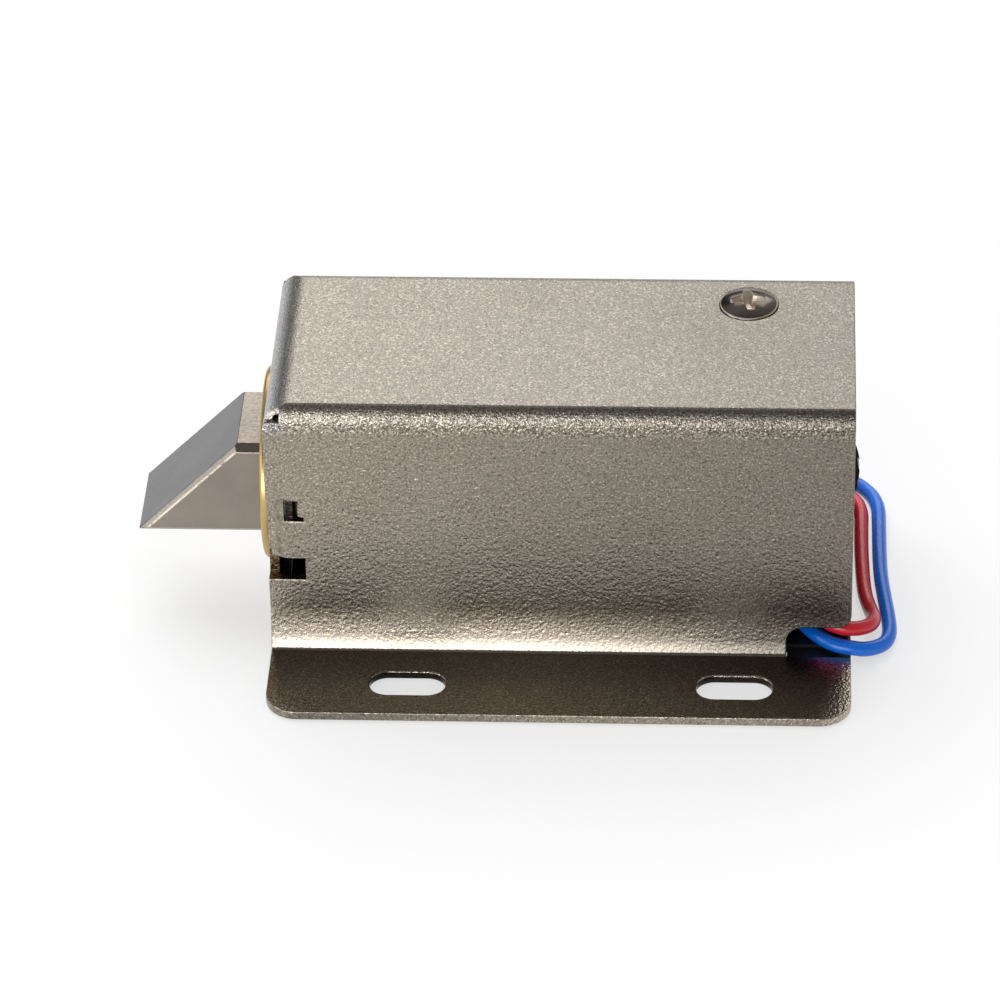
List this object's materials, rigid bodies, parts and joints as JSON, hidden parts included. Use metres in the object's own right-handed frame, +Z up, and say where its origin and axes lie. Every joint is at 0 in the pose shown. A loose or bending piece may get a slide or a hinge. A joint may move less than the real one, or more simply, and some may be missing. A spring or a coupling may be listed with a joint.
{
  "type": "electromechanical lock",
  "caption": "Small solenoid cabinet lock: folded metal case with a slotted mounting flange, brass-guided square slant latch bolt and wire leads.",
  "frame": {"origin": "midway between the centres of the two mounting slots, on the underside of the flange", "axes": "+Z up out of the seating face along the mounting screws, +X along the bolt from its nose towards the wire end, +Y from the flange towards the rear of the case"},
  "size_m": [0.0706, 0.0592, 0.0277],
  "materials": {
    "plated_steel": "satin nickel plate on rolled sheet",
    "blackened_steel": "dark blackened sheet",
    "screw_steel": "bright plated",
    "turned_brass": "turned",
    "cast_zinc": "satin plated zinc with fine draw lines",
    "bright_steel": "turned",
    "spring_steel": "bright wire",
    "yoke_steel": "plated",
    "bobbin_plastic": "moulded",
    "enamelled_copper": "enamelled wire",
    "tape_film": "film tape",
    "pad_rubber": "matt",
    "sleeve_black": "shrunk",
    "lead_red_jacket": "smooth extruded",
    "lead_blue_jacket": "smooth extruded",
    "tinned_copper": "tinned strands",
    "tie_black": "moulded"
  },
  "bodies": {
    "case": {"case_shell": "plated_steel", "base_cover": "blackened_steel", "case_screw": "screw_steel", "core_screw": "screw_steel", "guide_bush": "turned_brass", "return_spring": "spring_steel", "spring_washer": "bright_steel", "yoke": "yoke_steel", "guide_sleeve": "turned_brass", "bobbin": "bobbin_plastic", "coil_winding": "enamelled_copper", "coil_tape": "tape_film", "fixed_core": "yoke_steel", "core_pad": "pad_rubber", "splice_sleeve_red": "sleeve_black", "splice_sleeve_blue": "sleeve_black", "lead_red": "lead_red_jacket", "lead_blue": "lead_blue_jacket", "lead_red_coil": "lead_red_jacket", "lead_blue_coil": "lead_blue_jacket", "lead_red_tip": "tinned_copper", "lead_blue_tip": "tinned_copper", "coil_tie_red": "tie_black", "coil_tie_blue": "tie_black"},
    "bolt": {"latch_bolt": "cast_zinc", "bolt_pin": "bright_steel", "stop_collar": "bright_steel", "plunger": "bright_steel"}
  },
  "joints": [
    {"name": "bolt_slide", "type": "slide", "parent": "case", "child": "bolt", "axis": [1, 0, 0], "range_m": [0, 0.01], "stiffness_N_per_m": 200, "springref_m": -0.006, "deforming": ["return_spring"]}
  ]
}
